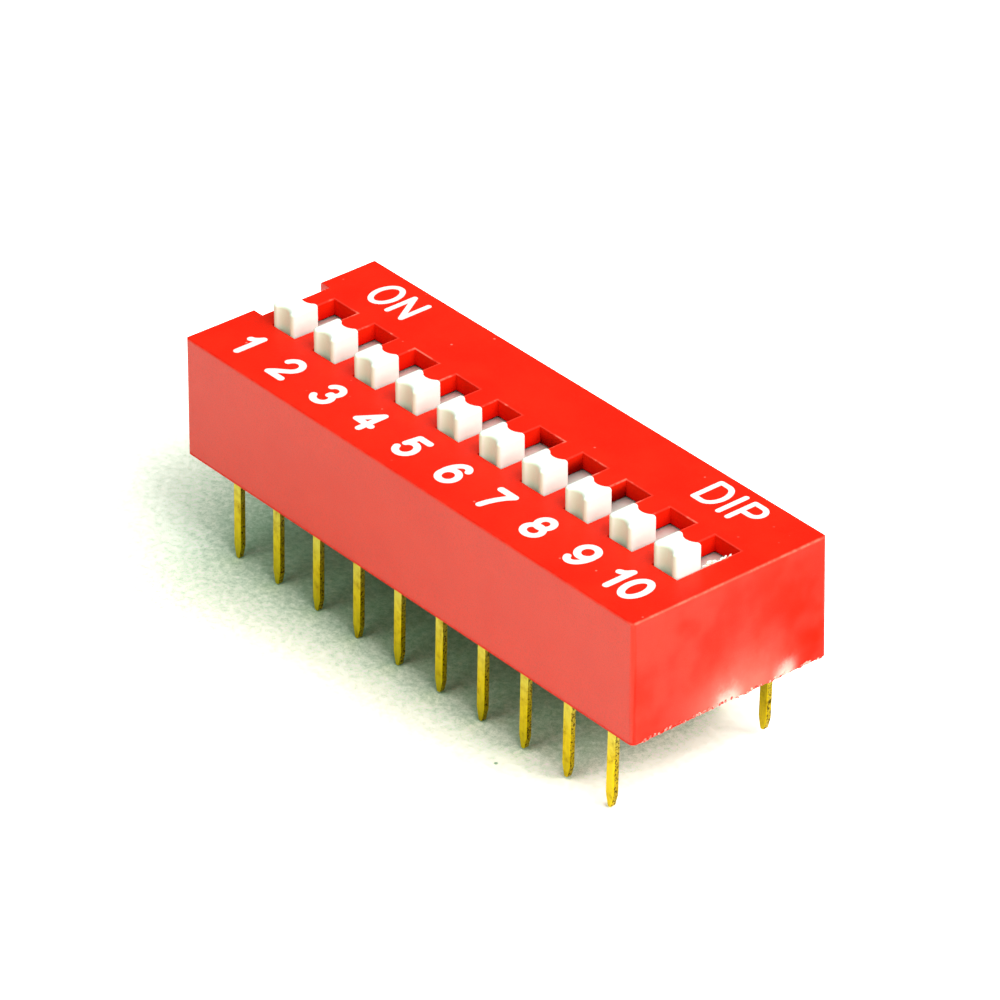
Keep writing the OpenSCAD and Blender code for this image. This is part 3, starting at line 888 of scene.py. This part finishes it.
# Centre lines of the strokes, in millimetres about the middle of each sign
GLYPHS = {
    "1": [[(0.18, -0.66), (0.18, 0.66)], [(0.18, 0.66), (0.06, 0.48), (-0.06, 0.37), (-0.2, 0.31)]],
    "2": [bow(-0.01, 0.26, 0.39, 0.40, 168, -22, 12)
          + [(0.26, -0.05), (0.0, -0.28), (-0.24, -0.48), (-0.38, -0.66), (0.41, -0.66)]],
    "3": [bow(-0.01, 0.32, 0.35, 0.34, 158, -78, 12), bow(0.0, -0.29, 0.40, 0.37, 80, -158, 14)],
    "4": [[(0.2, -0.66), (0.2, 0.62), (-0.42, -0.26), (0.44, -0.26)]],
    "5": [[(0.38, 0.64), (-0.22, 0.64), (-0.31, 0.02)]
          + bow(0.0, -0.22, 0.40, 0.44, 138, -160, 16)],
    "6": SIX,
    "7": [[(-0.41, 0.64), (0.40, 0.64), (0.2, 0.36), (0.04, 0.02), (-0.07, -0.32), (-0.13, -0.66)]],
    "8": [bow(0.0, 0.32, 0.33, 0.34, 0, 360, 22), bow(0.0, -0.30, 0.40, 0.36, 0, 360, 24)],
    "9": [[(-x, -y) for x, y in stroke] for stroke in SIX],
    "0": [bow(0.0, 0.0, 0.40, 0.66, 0, 360, 28)],
    "O": [bow(0.0, 0.0, 0.49, 0.72, 0, 360, 32)],
    "N": [[(-0.43, -0.70), (-0.43, 0.70), (0.43, -0.70), (0.43, 0.70)]],
    "D": [[(0.0, -0.70), (-0.46, -0.70), (-0.46, 0.70), (0.0, 0.70)]
          + bow(-0.02, 0.0, 0.48, 0.70, 84, -84, 16) + [(0.0, -0.70)]],
    "I": [[(0.0, -0.70), (0.0, 0.70)]],
    "P": [[(-0.41, -0.70), (-0.41, 0.70), (0.06, 0.70)] + bow(0.06, 0.34, 0.35, 0.36, 84, -84, 12)
          + [(0.06, -0.02), (-0.41, -0.02)]],
}

# How far each digit stands off its place along the row
DIGIT_NUDGE = {1: 0.0, 2: 0.0, 3: 0.0, 4: -0.04, 5: -0.04, 6: -0.02, 7: -0.09, 8: -0.08, 9: -0.1}

# Sign, middle in X and Y, stroke width. All are read from the OFF side.
PRINT = [(str(k), station(k) - 0.1 + DIGIT_NUDGE[k], -3.13, DIGIT_STROKE) for k in range(1, 10)]
PRINT += [("1", station(10) - 0.80, -3.15, DIGIT_STROKE),
          ("0", station(10) + 0.29, -3.14, DIGIT_STROKE)]
PRINT += [("O", -10.96, 3.39, WORD_STROKE), ("N", -9.60, 3.37, WORD_STROKE)]
PRINT += [("D", 8.67, 3.43, WORD_STROKE), ("I", 9.61, 3.43, WORD_STROKE),
          ("P", 10.55, 3.42, WORD_STROKE)]


def stroke_patches(stroke, width):
    """Overlapping flat patches that cover a stroke with round ends and joints."""
    half = width / 2
    patches = [bow(x, y, half, half, 0, 337.5, 15) for x, y in stroke]
    for (ax, ay), (bx, by) in zip(stroke, stroke[1:]):
        along = Vector((bx - ax, by - ay))
        if along.length < 1e-6:
            continue
        along *= half / along.length
        patches.append([(ax + along.y, ay - along.x), (bx + along.y, by - along.x),
                        (bx - along.y, by + along.x), (ax - along.y, ay + along.x)])
    return patches


def add_sign(bm, sign, x, y, width):
    """One printed sign as a thin closed slab on the top face."""
    points, faces = [], []
    for stroke in GLYPHS[sign]:
        for patch in stroke_patches(stroke, width):
            faces.append(range(len(points), len(points) + len(patch)))
            points += [Vector(p) for p in patch]
    faces = [list(f) for f in faces]
    flat, _, triangles, _, _, sources = delaunay_2d_cdt(points, [], faces, 1, 1e-5)
    verts = [bm.verts.new(((x + p.x) * MM, (y + p.y) * MM, (TOP_Z - INK_SINK) * MM)) for p in flat]
    made = [bm.faces.new([verts[i] for i in t]) for t, s in zip(triangles, sources) if s]
    raised = bmesh.ops.extrude_face_region(bm, geom=made)["geom"]
    lifted = [g for g in raised if isinstance(g, bmesh.types.BMVert)]
    bmesh.ops.translate(bm, verts=lifted, vec=(0, 0, (INK_SINK + INK_DEPTH) * MM))
    bmesh.ops.delete(bm, geom=[v for v in verts if not v.link_faces], context="VERTS")


def make_print():
    bm = bmesh.new()
    for sign, x, y, width in PRINT:
        add_sign(bm, sign, x, y, width)
    bmesh.ops.rotate(bm, verts=bm.verts, cent=(0, 0, 0),
                     matrix=Matrix.Rotation(math.radians(PRINT_TURN), 3, "Z"))
    bmesh.ops.recalc_face_normals(bm, faces=bm.faces)
    mesh = bpy.data.meshes.new("printed_marks")
    bm.to_mesh(mesh)
    bm.free()
    piece = add_object("printed_marks", mesh, INK)
    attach(piece, RIDER)


make_cover()
make_sliders()
make_leads()
make_flash()
dress_hidden_nodes()
make_print()

# ---------------------------------------------------------------- floor, light and camera

FLOOR_HALF = 0.6               # metres from the middle to the floor's edge
FLOOR_BOUNCE = ((0.16, 0.17, 0.14, 1.0), (0.50, 0.52, 0.45, 1.0))   # towards position 1, and 10
FLOOR_GAIN = 1.72
WHITE = (1.0, 1.0, 1.0, 1.0)
DARK_WAY = (-0.62, 0.50, 0.6)  # where the room is dark to glossy rays
GLOSSY_ROOM = ((1.0, 1.0, 0.8, 1.0), (0.03, 0.03, 0.03, 1.0))       # elsewhere, and there
BRIGHT_WAY = (0.93, 0.37, 0.0)   # the bright side of the room, for diffuse rays
SOFT_ROOM = ((0.16, 0.16, 0.15, 1.0), (0.78, 0.80, 0.76, 1.0))      # the side away from it, and it
ZENITH = (0.85, 0.85, 0.82, 1.0)
# Lamps: name, place and size in metres, power in watts, colour
KEY = ("key", (0.30, 0.045, 0.27), 0.34, 1.8, (1.0, 1.0, 0.99))
FILL = ("fill", (0.02, -0.40, 0.30), 0.30, 0.78, (0.96, 1.0, 0.93))
LAMP_TARGET = (0, 0, 0.005)    # metres
SHADE_REACH = 30.0             # how far the floor's painted shadow looks for the part, in millimetres
SHADE_LEAN = (0.7, 0.0, 0.7)   # the way it looks, towards the key light
# Colours of the shadow painted on the floor, by how open the floor is towards the key light
SHADE = ((0.36, (0.055, 0.14, 0.066, 1)), (0.53, (0.20, 0.33, 0.225, 1)),
         (0.612, (0.41, 0.51, 0.41, 1)), (0.675, (0.66, 0.72, 0.62, 1)),
         (0.77, (0.86, 0.89, 0.82, 1)), (0.89, (1, 1, 1, 1)))
CAMERA_PLACE = (156.591, -127.948, 132.462)   # millimetres
CAMERA_RIGHT = (0.635819, 0.771815, -0.005905)
CAMERA_DOWN = (0.404416, -0.339653, -0.849166)
SENSOR = 36                    # millimetres
CAMERA_LENS = 6203.1 * SENSOR / 1000   # from the focal length in pixels of a 1000 pixel picture


def make_floor():
    bm = bmesh.new()
    bmesh.ops.create_grid(bm, x_segments=2, y_segments=2, size=FLOOR_HALF)
    mesh = bpy.data.meshes.new("floor")
    bm.to_mesh(mesh)
    bm.free()
    add_object("floor", mesh, make_paper())


def make_lamp(name, place, size, power, colour):
    """A square soft lamp that looks at the part."""
    data = bpy.data.lights.new(name, "AREA")
    data.size = size
    data.energy = power
    data.color = colour
    lamp = bpy.data.objects.new(name, data)
    lamp.location = place
    way = Vector(LAMP_TARGET) - Vector(place)
    lamp.rotation_euler = way.to_track_quat("-Z", "Y").to_euler()
    bpy.context.scene.collection.objects.link(lamp)


def make_world():
    """A pale room: white to the camera, darker overhead behind the part for reflections."""
    world = bpy.data.worlds.new("room")
    bpy.context.scene.world = world
    world.use_nodes = True
    f = Finish(world.node_tree)
    way = f.node("ShaderNodeTexCoord")
    behind = f.dot(way, DARK_WAY)
    glossy = f.blend(f.between(behind, 0.35, 0.8), *GLOSSY_ROOM)
    soft = f.blend(f.between(f.dot(way, BRIGHT_WAY), -1.0, 1.0), *SOFT_ROOM)
    soft = f.blend(f.between(f.along(way, "Z"), 0.6, 0.95), soft, ZENITH)
    is_camera, is_glossy = ray_kinds(f)
    colour = f.blend(is_camera, f.blend(is_glossy, soft, glossy), WHITE)
    f.node("ShaderNodeOutputWorld", None, f.node("ShaderNodeBackground", None, colour, 1.0))


def make_camera():
    """The main camera, from its place, its right and its down."""
    data = bpy.data.cameras.new("camera")
    data.sensor_width = SENSOR
    data.lens = CAMERA_LENS
    data.clip_start = 0.01
    camera = bpy.data.objects.new("camera", data)
    right = Vector(CAMERA_RIGHT).normalized()
    up = -Vector(CAMERA_DOWN).normalized()
    back = right.cross(up).normalized()
    up = back.cross(right)
    camera.matrix_world = Matrix.Translation(Vector(CAMERA_PLACE) * MM) @ Matrix(
        (right, up, back)).transposed().to_4x4()
    bpy.context.scene.collection.objects.link(camera)
    bpy.context.scene.camera = camera


make_floor()
make_world()
make_lamp(*KEY)
make_lamp(*FILL)
make_camera()
bpy.context.scene.view_settings.view_transform = "Standard"
